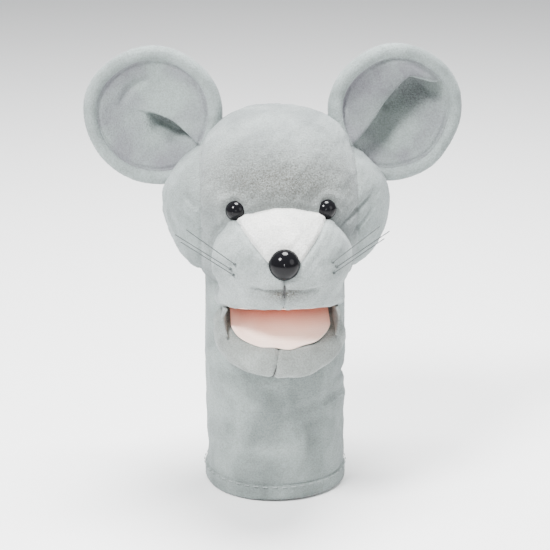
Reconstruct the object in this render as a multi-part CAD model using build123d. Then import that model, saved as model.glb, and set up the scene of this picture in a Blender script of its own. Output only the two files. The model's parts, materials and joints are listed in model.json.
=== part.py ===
from build123d import *

# A mouse hand puppet with a moving mouth, in millimetres. The puppet faces -Y and stands on its
# hem, with +Z up. The origin is the centre of the hand opening, in the plane of the hem's foot.
# "left" and "right" are as seen from the front, so left is -X.
import math
import os

# Cloths
plush = 2.5                    # thickness of the short-pile plush
lining = 0.8                   # thickness of the woven lining
peach = 1.0                    # thickness of the mouth cloth
board = 1.5                    # thickness of the mouth boards

# Sleeve
opening_radius = 50.0          # the hand opening, inside the lining
sleeve_ease = 2.7              # air between the sleeve's lining and its plush
hem_height = 15.0
hem_roll = 1.0                 # the hem stands out from the sleeve by this much
hem_turn = 2.0                 # rounding of the hem's foot
sleeve_height = 98.0           # where the sleeve starts to bend as the neck
wrist_radius = 46.0            # the lining narrows to this at the wrist
wrist_slope = 14.0             # height over which it narrows
wrist_pivot = (0, 5, 110)      # the operator's wrist, where the head turns, tilts and nods

# Head
head_centre = (0, -8, 234)
head_half_width = 87.0
head_radius = 72.0             # in height and in depth
crown_half_width = 55.0        # seams between the crown and the cheeks
back_seam_y = 20.0             # seam between the crown and the back of the head
hand_room_radius = 42.0
hand_room_y = 6.0
hand_room_top = 200.0
lining_gap = 2.0               # between the wrist's lining and the head's lining

# Muzzle
muzzle_centre = (0, -74, 206)
muzzle_half_width = 52.0
muzzle_radius = 40.0
muzzle_cloth = 2.0
muzzle_top_half_width = 34.0   # the pale top panel

# Mouth
fold_y, fold_z = -40.0, 160.0  # the fold at the back of the mouth, which the jaw turns about
palate_rise = 14.0             # degrees above level, towards the lips
jaw_drop = 16.0                # degrees below level, towards the lips
lip_bow_y = -23.0              # centre of the lips' round front, from the fold
leg_start = 2.0                # the lips' straight legs start this far from the fold
upper_lip_radius, upper_lip_bow = 7.0, 43.0
lower_lip_radius, lower_lip_bow = 11.5, 39.0
lip_clear = 0.3                # between a lip and the mouth boards' edges
pocket_bow = 32.0              # the finger pocket's round front
pocket_height = 23.5
thumb_half_width = 13.0
gusset_half_width = 40.5
gusset_reach = 44.0

# Buttons: eyes and nose, each with a shank and a lock washer
eye_radius, eye_height, eye_sink = 7.5, 6.0, 0.4
eye_x, eye_z = 34.0, 243.0
nose_radius, nose_height, nose_sink = 11.5, 9.0, 1.2
nose_z = 213.0
shank_radius, shank_length = 2.2, 13.0
washer_radius, washer_height, washer_hole_clear = 7.0, 1.5, 0.05
washer_drop = 0.9              # a flat washer sits this far under the curved cloth

# Ears
ear_centre = (93.0, 6.0, 298.0)
ear_radius = 54.0
ear_rim_radius = 5.5
ear_dish_radius = 95.0
ear_pad = 3.5
ear_turn = 10.0                # degrees that each ear faces outwards
ear_angle = 34.0               # direction of the ear's root from the head's centre
ear_root_gap = 0.4
ear_flop = (-20, 25)           # degrees, back and forward

# Thread and whiskers
thread_radius = 0.6
whisker_radius = 0.35
whisker_roots = ((36.0, 203.5), (38.0, 207.5), (35.0, 211.5))
whisker_tips = ((74.0, -94.0, 226.0), (78.0, -92.0, 231.0), (70.0, -97.0, 236.0))
knot_radius = 1.1
hem_stitches = 48
hem_stitch_length = 3.5
hem_stitch_radius = 0.4
hem_stitch_z = 13.0

# Worked out
lining_radius = opening_radius + lining
sleeve_inner = lining_radius + sleeve_ease
sleeve_radius = sleeve_inner + plush
hem_radius = sleeve_radius + hem_roll
bow_palate = upper_lip_bow - upper_lip_radius + lip_clear
palate_frame = Location((0, fold_y, fold_z), (-palate_rise, 0, 0))
jaw_frame = Location((0, fold_y, fold_z), (jaw_drop, 0, 0))
far = 200.0                    # larger than any part of the head
sides = {"left": -1, "right": 1}
parts = {}


def tube(outer, inner, bottom, top):
    """An upright tube about the Z axis."""
    height = top - bottom
    ring = Cylinder(outer, height) - Cylinder(inner, height)
    return Pos(0, 0, bottom + height / 2) * ring


def spheroid(half_width, radius, centre):
    """A ball stretched along X to this half width."""
    return Pos(*centre) * scale(Sphere(radius), by=(half_width / radius, 1, 1))


def bow_plate(bow, low, high, start=2.0):
    """A D-shaped plate of the mouth: straight sides from the fold, then a half circle."""
    height = high - low
    straight = Pos(0, (lip_bow_y - start) / 2, 0) * Rectangle(2 * bow, -lip_bow_y - start)
    outline = straight + Pos(0, lip_bow_y, 0) * Circle(bow)
    if bow > -lip_bow_y - start:
        outline -= Pos(0, far / 2 - start, 0) * Rectangle(far, far)
    return Pos(0, 0, low) * extrude(outline, height)


def lip(bow, radius, height):
    """A padded roll round the mouth, with its centre line at a height over the mouth's plane."""
    leg = -lip_bow_y - leg_start
    ring = Torus(bow, radius) - Pos(0, far / 2, 0) * Box(far, far, far)
    roll = Pos(0, lip_bow_y, 0) * ring
    for side in sides.values():
        straight = Rot(90, 0, 0) * Cylinder(radius, leg)
        roll += Pos(side * bow, lip_bow_y + leg / 2, 0) * straight
    return Pos(0, 0, height) * roll


def half(shape, side):
    """The left or right half of a shape."""
    return shape & Pos(side * far / 2, 0, far / 2) * Box(far, 3 * far, 3 * far)


def slab(frame, low, high, reach=far):
    """Everything in front of the fold between two heights over a mouth plane."""
    block = Pos(0, -reach / 2, (low + high) / 2) * Box(far, reach, high - low)
    return frame * block


def button(radius, height):
    """A domed button on its shank, standing on the XY plane."""
    bow = (radius**2 + height**2) / (2 * height)
    dome = Pos(0, 0, height - bow) * Sphere(bow)
    dome &= Pos(0, 0, height / 2) * Cylinder(radius + 1, height)
    return dome + Pos(0, 0, -shank_length / 2) * Cylinder(shank_radius, shank_length)


def washer(depth):
    """A lock washer, this far under the button."""
    hole = shank_radius + washer_hole_clear
    ring = Cylinder(washer_radius, washer_height) - Cylinder(hole, washer_height)
    return Pos(0, 0, -depth - washer_height / 2) * ring


def socket(depth):
    """The room that a shank and its washer take in the cloth and the stuffing."""
    shank = Pos(0, 0, -shank_length / 2) * Cylinder(shank_radius + 0.1, shank_length + 0.2)
    ring = Cylinder(washer_radius + 0.1, washer_height + 0.2)
    return shank + Pos(0, 0, -depth - washer_height / 2) * ring


def seat(radius, height):
    """The room that a button's dome takes in the cloth, above its foot."""
    return Pos(0, 0, height) * Cylinder(radius + 0.05, 2 * height)


def on_spheroid(x, z, half_width, radius, centre, stand=0.0):
    """A plane on a spheroid's front at this x and z, facing out and standing off by this much."""
    rise = z - centre[2]
    y = centre[1] - radius * math.sqrt(1 - (x / half_width) ** 2 - (rise / radius) ** 2)
    out = Vector(x / half_width**2, (y - centre[1]) / radius**2, rise / radius**2).normalized()
    return Plane(origin=Vector(x, y, z) + out * stand, z_dir=out)


def rod(start, end, radius, knot=0.0):
    """A straight round rod between two points, with a round knot at its start."""
    run = Vector(*end) - Vector(*start)
    shape = Pos(0, 0, run.length / 2) * Cylinder(radius, run.length)
    if knot:
        shape += Sphere(knot)
    return Plane(origin=start, z_dir=run) * shape


# Sleeve: two plush panels with seams at the sides, a turned-up hem and a lining
sleeve = tube(sleeve_radius, sleeve_inner, hem_height, sleeve_height)
front_half = Pos(0, -far / 2, far / 2) * Box(far, far, 3 * far)
back_half = Pos(0, far / 2, far / 2) * Box(far, far, 3 * far)
parts["sleeve_front"] = sleeve & front_half
parts["sleeve_back"] = sleeve & back_half
hem = tube(hem_radius, opening_radius, 0, hem_height)
foot = hem.edges().filter_by(lambda e: e.geom_type == GeomType.CIRCLE and e.center().Z < 0.01)
parts["hem"] = fillet(foot.sort_by(SortBy.RADIUS)[-1], hem_turn)
parts["sleeve_lining"] = tube(lining_radius, opening_radius, hem_height, sleeve_height)

stitches = []
for number in range(hem_stitches):
    stitch = Rot(90, 0, 0) * Cylinder(hem_stitch_radius, hem_stitch_length)
    at = Pos(hem_radius + hem_stitch_radius + 0.1, 0, hem_stitch_z)
    stitches.append(Rot(0, 0, 360 * (number + 0.5) / hem_stitches) * at * stitch)
parts["hem_stitches"] = Compound(children=stitches)

# Head and muzzle: cloth shells over stuffing
head = spheroid(head_half_width, head_radius, head_centre)
head_inner = spheroid(head_half_width - plush, head_radius - plush, head_centre)
muzzle = spheroid(muzzle_half_width, muzzle_radius, muzzle_centre)
muzzle_inner = spheroid(muzzle_half_width - muzzle_cloth, muzzle_radius - muzzle_cloth, muzzle_centre)
upper_lip = palate_frame * lip(upper_lip_bow, upper_lip_radius, upper_lip_radius)
under_palate = slab(palate_frame, -far, 0)
under_board = slab(palate_frame, -far, peach + board)

# The lining in the head: room for the hand, and a pocket for four fingers over the palate
pocket_floor = peach + board


def hand_room(wall):
    """The hand's room and the finger pocket, grown by a wall."""
    floor = fold_z - lining_gap
    height = hand_room_top + wall - floor
    room = Pos(0, hand_room_y, floor + height / 2) * Cylinder(hand_room_radius + wall, height)
    low = pocket_floor + lining - wall
    high = pocket_floor + lining + pocket_height + wall
    return room + palate_frame * bow_plate(pocket_bow + wall, low, high, start=-10.0)


room_inner, room_outer = hand_room(0), hand_room(lining)
parts["finger_pocket"] = room_outer - room_inner - under_board

# Jaw, in its own plane at rest
lower_lip = jaw_frame * lip(lower_lip_bow, lower_lip_radius, -lower_lip_radius)
lip_core = jaw_frame * lip(lower_lip_bow, lower_lip_radius - plush, -lower_lip_radius)
jaw_depth = 2 * lower_lip_radius


def beside_lip(depth):
    """How wide a plate can be between the lower lip's arms, this far under the mouth's plane."""
    rise = lower_lip_radius - depth
    return lower_lip_bow - math.sqrt(lower_lip_radius**2 - rise**2) - lip_clear


# Neck: the sleeve's cloth and lining, where they bend
neck = tube(sleeve_radius, sleeve_inner, sleeve_height, head_centre[2])
above_chin = slab(jaw_frame, -jaw_depth - lip_clear, far)
above_chin += Pos(0, fold_y - far / 2, fold_z + far / 2) * Box(far, far, far)
neck = neck - head - upper_lip - above_chin
parts["neck_front"] = (neck & front_half).solids().sort_by(SortBy.VOLUME)[-1]
parts["neck_back"] = (neck & back_half).solids().sort_by(SortBy.VOLUME)[-1]

wrist_top = fold_z - 2 * lining_gap
with BuildPart() as wrist:
    with BuildSketch(Plane.XZ):
        with BuildLine():
            inner = [
                (opening_radius, sleeve_height),
                (wrist_radius, sleeve_height + wrist_slope),
                (wrist_radius, wrist_top),
            ]
            outer = [(r + lining, z) for r, z in reversed(inner)]
            Polyline(*inner, *outer, close=True)
        make_face()
    revolve(axis=Axis.Z)
parts["wrist_lining"] = wrist.part - above_chin

# Head cover: crown, back and two cheeks, sewn edge to edge
head_form = (head_half_width, head_radius, head_centre)
muzzle_form = (muzzle_half_width, muzzle_radius, muzzle_centre)
eye_depth = plush - eye_sink + washer_drop
nose_depth = muzzle_cloth - nose_sink + 2 * washer_drop
nose_frame = on_spheroid(0, nose_z, *muzzle_form, -nose_sink)
eye_frames = {}
for name, side in sides.items():
    eye_frames[name] = on_spheroid(side * eye_x, eye_z, *head_form, -eye_sink)
sockets = [eye_frames[name] * socket(eye_depth) for name in sides]
seats = [eye_frames[name] * seat(eye_radius, eye_height) for name in sides]
nose_socket = nose_frame * socket(nose_depth)
nose_seat = nose_frame * seat(nose_radius, nose_height)

cover = head - head_inner - muzzle - upper_lip - under_palate - room_outer
for hole in sockets + seats:
    cover -= hole
ahead = Pos(0, back_seam_y - far, head_centre[2]) * Box(far * 2, far * 2, far * 2)
middle = Pos(0, 0, head_centre[2]) * Box(2 * crown_half_width, far * 2, far * 2)
parts["head_back"] = cover - ahead
front_cover = cover & ahead
parts["crown"] = front_cover & middle
for name, side in sides.items():
    parts[f"{name}_cheek"] = half(front_cover - middle, side)

# Muzzle cover: a pale top panel and two sides, over the upper lip
lip_top = 2 * upper_lip_radius
inside_lip = palate_frame * bow_plate(upper_lip_bow, -lip_top, lip_top, start=-20)
muzzle_cover = muzzle - muzzle_inner - head - upper_lip - under_palate - inside_lip
muzzle_cover = muzzle_cover - room_outer - nose_socket - nose_seat
for hole in seats:
    muzzle_cover -= hole
top_block = Pos(0, 0, muzzle_centre[2] + far / 2) * Box(2 * muzzle_top_half_width, far * 2, far)
parts["muzzle_top"] = muzzle_cover & top_block
for name, side in sides.items():
    parts[f"{name}_muzzle"] = half(muzzle_cover - top_block, side)
parts["upper_lip"] = upper_lip - under_palate

# Stuffing, with room for the lining, the washers and the mouth boards
head_fill = head_inner - room_outer - under_board - upper_lip
for hole in sockets:
    head_fill -= hole
parts["head_stuffing"] = head_fill - nose_socket
parts["muzzle_stuffing"] = muzzle_inner - head_inner - room_outer - under_board - upper_lip - nose_socket

# Mouth: peach cloth over a board, above and below
parts["palate"] = palate_frame * bow_plate(bow_palate, 0, peach)
parts["upper_board"] = palate_frame * bow_plate(bow_palate, peach, peach + board)
tongue_bow = beside_lip(peach)
board_bow = beside_lip(peach + board)
parts["tongue"] = jaw_frame * bow_plate(tongue_bow, -peach, 0)
parts["lower_board"] = jaw_frame * bow_plate(board_bow, -peach - board, -peach)

# Jaw: two halves of the lower lip sewn at the chin, its padding, the chin and the thumb pocket
lip_cloth = lower_lip - lip_core
for name, side in sides.items():
    parts[f"{name}_lower_lip"] = half(lip_cloth, side)
parts["lower_lip_stuffing"] = lip_core
chin_bow = beside_lip(jaw_depth - plush)
inner_bow = lower_lip_bow - lower_lip_radius - lip_clear
chin_start = leg_start
parts["chin"] = jaw_frame * bow_plate(chin_bow, -jaw_depth, -jaw_depth + plush, start=chin_start)
thumb_low = -jaw_depth + plush + 2 * lining
thumb_high = -peach - board
thumb_corner = thumb_half_width + lining
thumb_tip = lip_bow_y - math.sqrt((inner_bow - lip_clear) ** 2 - thumb_corner**2)
thumb_length = -thumb_tip - chin_start - lining


def thumb_room(wall):
    """The thumb's room under the lower board, grown by a wall."""
    height = thumb_high - thumb_low + wall
    length = thumb_length + wall
    block = Box(2 * (thumb_half_width + wall), length, height)
    at = Pos(0, -chin_start - length / 2, thumb_high - height / 2)
    return jaw_frame * (at * block)


parts["thumb_pocket"] = thumb_room(lining) - thumb_room(0)
jaw_fill = jaw_frame * bow_plate(inner_bow, -jaw_depth + plush, thumb_high, start=chin_start)
parts["jaw_stuffing"] = jaw_fill - thumb_room(lining)

# Mouth corners: a web of plush each side, between the palate and the jaw
web = CenterArc((0, 0), gusset_reach, 180 - palate_rise, palate_rise + jaw_drop)
fan = make_face(web + Line((0, 0), web @ 0) + Line((0, 0), web @ 1))
fan -= Circle(leg_start)
fan_depth = Plane((0, fold_y, fold_z), x_dir=(0, 1, 0), z_dir=(1, 0, 0))
for name, side in sides.items():
    edge = side * gusset_half_width
    web_solid = fan_depth * extrude(fan, plush / 2, both=True)
    parts[f"{name}_mouth_corner"] = Pos(edge, 0, 0) * web_solid

# Eyes and nose
for name in sides:
    parts[f"{name}_eye"] = eye_frames[name] * button(eye_radius, eye_height)
    parts[f"{name}_eye_washer"] = eye_frames[name] * washer(eye_depth)
parts["nose"] = nose_frame * button(nose_radius, nose_height)
parts["nose_washer"] = nose_frame * washer(nose_depth)

# Black thread under the nose, and the seam of the chin
lip_drop = muzzle_radius + 1.6 * thread_radius
thread_path = [math.radians(-12.0), math.radians(-27.0)]
ends = [
    (0, muzzle_centre[1] - lip_drop * math.cos(a), muzzle_centre[2] + lip_drop * math.sin(a))
    for a in thread_path
]
parts["lip_thread"] = rod(*ends, thread_radius)
stitch_section = Pos(lower_lip_radius + thread_radius + 0.1, 0) * Circle(thread_radius)
stitch_arc = revolve(Plane.XZ * stitch_section, Axis.Z, revolution_arc=80)
chin_turn = Pos(0, lip_bow_y - lower_lip_bow, -lower_lip_radius) * Rot(0, 90, 0) * Rot(0, 0, -125)
parts["chin_thread"] = jaw_frame * (chin_turn * stitch_arc)

# Whiskers: three stiff nylon bristles a side, each with a knot at its root
for name, side in sides.items():
    bristles = []
    for (x, z), tip in zip(whisker_roots, whisker_tips):
        root = on_spheroid(side * x, z, *muzzle_form, knot_radius + 0.05).origin
        end = (side * tip[0], tip[1], tip[2])
        bristles.append(rod(root, end, whisker_radius, knot_radius))
    parts[f"{name}_whiskers"] = Compound(children=bristles)

# Ears: a dish of two cloths over a pad, with a rolled rim, each hinged along its root
root_angle = math.radians(ear_angle)
root_x, root_z = math.cos(root_angle), math.sin(root_angle)
root_far = 1 / math.hypot(root_x / head_half_width, root_z / head_radius)
slope_x, slope_z = root_x / head_half_width**2, root_z / head_radius**2
slope = math.hypot(slope_x, slope_z)
ring_bow = ear_radius - ear_rim_radius
dish_edge = ring_bow - ear_rim_radius / 2
dish_sag = ear_dish_radius - math.sqrt(ear_dish_radius**2 - dish_edge**2)


def dish(near, thick):
    """A layer of the ear's dish, this far behind its front, about the Z axis."""
    layer = Sphere(ear_dish_radius + near + thick) - Sphere(ear_dish_radius + near)
    centre = Pos(0, 0, ear_dish_radius - dish_sag) * layer
    return centre & Pos(0, 0, -far / 4) * Cylinder(dish_edge, far / 2)


back_cloth = plush + ear_pad
layers = {"ear_front": (0, plush), "ear_pad": (plush, ear_pad), "ear_back": (back_cloth, plush)}
rim = Pos(0, 0, -ear_rim_radius + 1.5) * Torus(ring_bow, ear_rim_radius)
head_clear = spheroid(head_half_width + ear_root_gap, head_radius + ear_root_gap, head_centre)
for name, side in sides.items():
    root = (side * root_x * root_far, ear_centre[1], head_centre[2] + root_z * root_far)
    hinge = Axis(root, (slope_z / slope, 0, -side * slope_x / slope))
    turn = math.radians(ear_turn)
    face_out = (side * math.sin(turn), -math.cos(turn), 0)
    frame = Plane(origin=(side * ear_centre[0], *ear_centre[1:]), x_dir=(0, 0, 1), z_dir=face_out)
    taken = head_clear
    for angle in ear_flop:
        taken += head_clear.rotate(hinge, -angle)
    for layer, (near, thick) in layers.items():
        parts[f"{name}_{layer}"] = frame * (dish(near, thick) - rim) - taken
    parts[f"{name}_ear_rim"] = frame * rim - taken
    print(name, "ear hinge", [round(v, 2) for v in (*root, *hinge.direction)])

os.makedirs("parts", exist_ok=True)
for node, shape in parts.items():
    export_step(shape, f"parts/{node}.step")
print(len(parts), "nodes; sleeve radius", sleeve_radius, "opening radius", opening_radius)
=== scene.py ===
import json
import math

import bmesh
import bpy
import numpy as np
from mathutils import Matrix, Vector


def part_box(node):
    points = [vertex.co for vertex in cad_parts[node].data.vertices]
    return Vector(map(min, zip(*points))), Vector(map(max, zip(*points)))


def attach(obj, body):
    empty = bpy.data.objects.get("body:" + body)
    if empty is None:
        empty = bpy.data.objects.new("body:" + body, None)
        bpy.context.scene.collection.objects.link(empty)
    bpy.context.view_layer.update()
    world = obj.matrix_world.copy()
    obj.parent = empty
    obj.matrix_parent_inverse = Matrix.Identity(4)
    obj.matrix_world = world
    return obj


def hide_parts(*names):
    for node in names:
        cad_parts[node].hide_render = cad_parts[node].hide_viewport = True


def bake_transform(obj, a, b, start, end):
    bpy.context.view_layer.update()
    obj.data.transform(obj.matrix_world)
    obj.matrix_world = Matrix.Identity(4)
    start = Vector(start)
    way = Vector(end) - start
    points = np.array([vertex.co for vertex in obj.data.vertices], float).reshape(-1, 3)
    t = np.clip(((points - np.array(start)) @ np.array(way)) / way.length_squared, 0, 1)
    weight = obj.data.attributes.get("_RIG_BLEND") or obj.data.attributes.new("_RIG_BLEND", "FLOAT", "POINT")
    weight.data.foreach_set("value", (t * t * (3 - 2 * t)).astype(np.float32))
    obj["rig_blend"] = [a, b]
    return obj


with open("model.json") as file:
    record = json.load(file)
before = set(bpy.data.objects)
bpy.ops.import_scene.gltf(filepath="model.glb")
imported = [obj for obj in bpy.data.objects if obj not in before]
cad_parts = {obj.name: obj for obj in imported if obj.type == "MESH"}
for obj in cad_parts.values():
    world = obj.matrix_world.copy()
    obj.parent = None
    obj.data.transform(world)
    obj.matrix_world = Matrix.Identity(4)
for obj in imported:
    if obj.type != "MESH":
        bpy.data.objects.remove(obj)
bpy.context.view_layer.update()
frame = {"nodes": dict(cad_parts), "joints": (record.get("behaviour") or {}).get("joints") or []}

# Sleeve and neck: plush cut as a front and a back panel and sewn down both sides. The tube goes up
# under the head, where it bulges forward as the throat and is sewn to the chin. It is made whole,
# then cut across into the hem and four bands, and each band bends over one joint.
def corners(node):
    """A frame node's low and high corners, in millimetres."""
    low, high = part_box(node)
    return np.array(low) * 1000, np.array(high) * 1000


def ripple(x, y, z, size, seed):
    """Smooth unevenness from -1 to 1, with waves about this long."""
    random = np.random.RandomState(seed)
    total = 0
    for _ in range(7):
        way = random.normal(size=3)
        way *= 2 * math.pi / (size * random.uniform(0.7, 1.6) * np.linalg.norm(way))
        total = total + np.sin(way[0] * x + way[1] * y + way[2] * z + random.uniform(0, 6.3))
    return total / 3.2


def ease(t):
    """A smooth step from 0 to 1."""
    t = np.clip(t, 0, 1)
    return t * t * (3 - 2 * t)


def mould(bm, rule):
    """Moves every point of a mesh by a rule on its x, y and z."""
    places = np.array(rule(*np.array([v.co for v in bm.verts]).T)).T
    for vert, place in zip(bm.verts, places):
        vert.co = place


def cut(bm, point, way):
    """A copy of a mesh without what lies beyond a plane, on the side it faces."""
    copy = bm.copy()
    geom = copy.verts[:] + copy.edges[:] + copy.faces[:]
    bmesh.ops.bisect_plane(copy, geom=geom, dist=1e-5, plane_co=point, plane_no=way, clear_outer=True)
    return copy


def piece(name, bm, material, thick=0.0):
    """Makes an object from a mesh in millimetres, with a wall inside its surface."""
    bmesh.ops.scale(bm, vec=(0.001, 0.001, 0.001), verts=bm.verts)
    mesh = bpy.data.meshes.new(name)
    bm.to_mesh(mesh)
    bm.free()
    mesh.polygons.foreach_set("use_smooth", [True] * len(mesh.polygons))
    obj = bpy.data.objects.new(name, mesh)
    bpy.context.scene.collection.objects.link(obj)
    obj.data.materials.append(material)
    if thick:
        wall = obj.modifiers.new("wall", "SOLIDIFY")
        wall.thickness = thick / 1000
        wall.offset = -1
        wall.use_rim = True
    return obj


def tint(material, colour, shade_patch, shade_colour, flecked=True):
    """Paints shade: brings a colour softly to another one inside a ball of this centre and these half sizes.
    """
    nodes, links = material.node_tree.nodes, material.node_tree.links
    place = nodes.new("ShaderNodeTexCoord")
    near = nodes.new("ShaderNodeMapping")
    near.vector_type = "TEXTURE"
    near.inputs["Location"].default_value = [c / 1000 for c in shade_patch[0]]
    near.inputs["Scale"].default_value = [c / 1000 for c in shade_patch[1]]
    shade_ball = nodes.new("ShaderNodeTexGradient")
    shade_ball.gradient_type = "QUADRATIC_SPHERE"
    links.new(place.outputs["Object"], near.inputs["Vector"])
    links.new(near.outputs["Vector"], shade_ball.inputs["Vector"])
    mix = nodes.new("ShaderNodeMix")
    mix.data_type = "RGBA"
    mix.inputs["B"].default_value = (*shade_colour, 1)
    fleck = nodes.new("ShaderNodeTexNoise")
    fleck.inputs["Scale"].default_value = 900
    links.new(place.outputs["Object"], fleck.inputs["Vector"])
    strength = nodes.new("ShaderNodeMapRange")
    strength.inputs["From Min"].default_value = 0.3
    strength.inputs["From Max"].default_value = 0.7
    strength.inputs["To Min"].default_value = 0.35 if flecked else 0.9
    strength.inputs["To Max"].default_value = 1.5 if flecked else 1.1
    links.new(fleck.outputs["Fac"], strength.inputs["Value"])
    share = nodes.new("ShaderNodeMath")
    share.operation = "MULTIPLY"
    share.use_clamp = True
    links.new(shade_ball.outputs["Fac"], share.inputs[0])
    links.new(strength.outputs["Result"], share.inputs[1])
    links.new(share.outputs["Value"], mix.inputs["Factor"])
    links.new(colour, mix.inputs["A"])
    return mix.outputs["Result"]


def plush(name, pale, deep, shade_patch=None, shade_colour=None, lay=34.0):
    """Short-pile plush: brushed patches, fine speckled pile, a soft sheen and a darker spot of painted shade.
    """
    material = bpy.data.materials.new(name)
    material.use_nodes = True
    nodes, links = material.node_tree.nodes, material.node_tree.links
    shader = nodes["Principled BSDF"]
    shader.inputs["Roughness"].default_value = 0.95
    shader.inputs["Specular IOR Level"].default_value = 0.12
    shader.inputs["Sheen Weight"].default_value = 0.22
    shader.inputs["Sheen Roughness"].default_value = 0.45
    shader.inputs["Sheen Tint"].default_value = (0.9, 0.95, 1.0, 1)
    place = nodes.new("ShaderNodeTexCoord")
    brushed = nodes.new("ShaderNodeTexNoise")
    brushed.inputs["Scale"].default_value = lay
    brushed.inputs["Detail"].default_value = 5
    brushed.inputs["Distortion"].default_value = 0.6
    pile = nodes.new("ShaderNodeTexNoise")
    pile.inputs["Scale"].default_value = 850
    pile.inputs["Detail"].default_value = 3
    tufts = nodes.new("ShaderNodeTexVoronoi")
    tufts.inputs["Scale"].default_value = 900
    for node in (brushed, pile, tufts):
        links.new(place.outputs["Object"], node.inputs["Vector"])
    tone = nodes.new("ShaderNodeValToRGB")
    tone.color_ramp.elements[0].position = 0.32
    tone.color_ramp.elements[0].color = (*deep, 1)
    tone.color_ramp.elements[1].position = 0.66
    tone.color_ramp.elements[1].color = (*pale, 1)
    links.new(brushed.outputs["Fac"], tone.inputs["Fac"])
    colour = tone.outputs["Color"]
    if shade_patch:
        colour = tint(material, colour, shade_patch, shade_colour)
    speckle = nodes.new("ShaderNodeValToRGB")
    speckle.color_ramp.elements[0].position = 0.34
    speckle.color_ramp.elements[0].color = (0.74, 0.735, 0.73, 1)
    speckle.color_ramp.elements[1].position = 0.62
    speckle.color_ramp.elements[1].color = (1.0, 1.0, 1.0, 1)
    links.new(pile.outputs["Fac"], speckle.inputs["Fac"])
    dust = nodes.new("ShaderNodeMix")
    dust.data_type = "RGBA"
    dust.blend_type = "MULTIPLY"
    dust.inputs["Factor"].default_value = 1
    links.new(colour, dust.inputs["A"])
    links.new(speckle.outputs["Color"], dust.inputs["B"])
    links.new(dust.outputs["Result"], shader.inputs["Base Color"])
    height = nodes.new("ShaderNodeMath")
    height.operation = "ADD"
    links.new(pile.outputs["Fac"], height.inputs[0])
    links.new(tufts.outputs["Distance"], height.inputs[1])
    bump = nodes.new("ShaderNodeBump")
    bump.inputs["Strength"].default_value = 0.55
    bump.inputs["Distance"].default_value = 0.0006
    links.new(height.outputs["Value"], bump.inputs["Height"])
    links.new(bump.outputs["Normal"], shader.inputs["Normal"])
    return material


joints = {joint["name"]: joint for joint in frame["joints"]}
sleeve_radius = corners("sleeve_front")[1][0]
hem_top = corners("hem")[1][2]
head_top = corners("crown")[1][2]
head_half_width = corners("right_cheek")[1][0]
head_radius = 72.0
head_centre = np.array([0.0, corners("head_back")[1][1] - head_radius, head_top - head_radius])
fold = np.array(joints["jaw_open"]["pos_m"]) * 1000
palate_rise, jaw_drop = math.radians(14), math.radians(16)
lip_bow, lip_radius, bow_start = 39.0, 11.5, 23.0


def from_jaw(x, y, z):
    """From the jaw's own plane, measured from the fold, to the puppet."""
    a = jaw_drop
    return x, fold[1] + y * np.cos(a) - z * np.sin(a), fold[2] + y * np.sin(a) + z * np.cos(a)


def from_palate(x, y, z):
    """From the palate's own plane, measured from the fold, to the puppet."""
    a = palate_rise
    return x, fold[1] + y * np.cos(a) + z * np.sin(a), fold[2] - y * np.sin(a) + z * np.cos(a)


def under_head(x, y):
    """The height of the head's underside."""
    inside = 1 - (x / head_half_width) ** 2 - ((y - head_centre[1]) / head_radius) ** 2
    return head_centre[2] - head_radius * np.sqrt(np.clip(inside, 0, 1))


ring_top = 112.0
collar_foot, nape_foot = 46.0, 75.0
hem_thick, plush_thick = 1.7, 2.3


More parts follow.
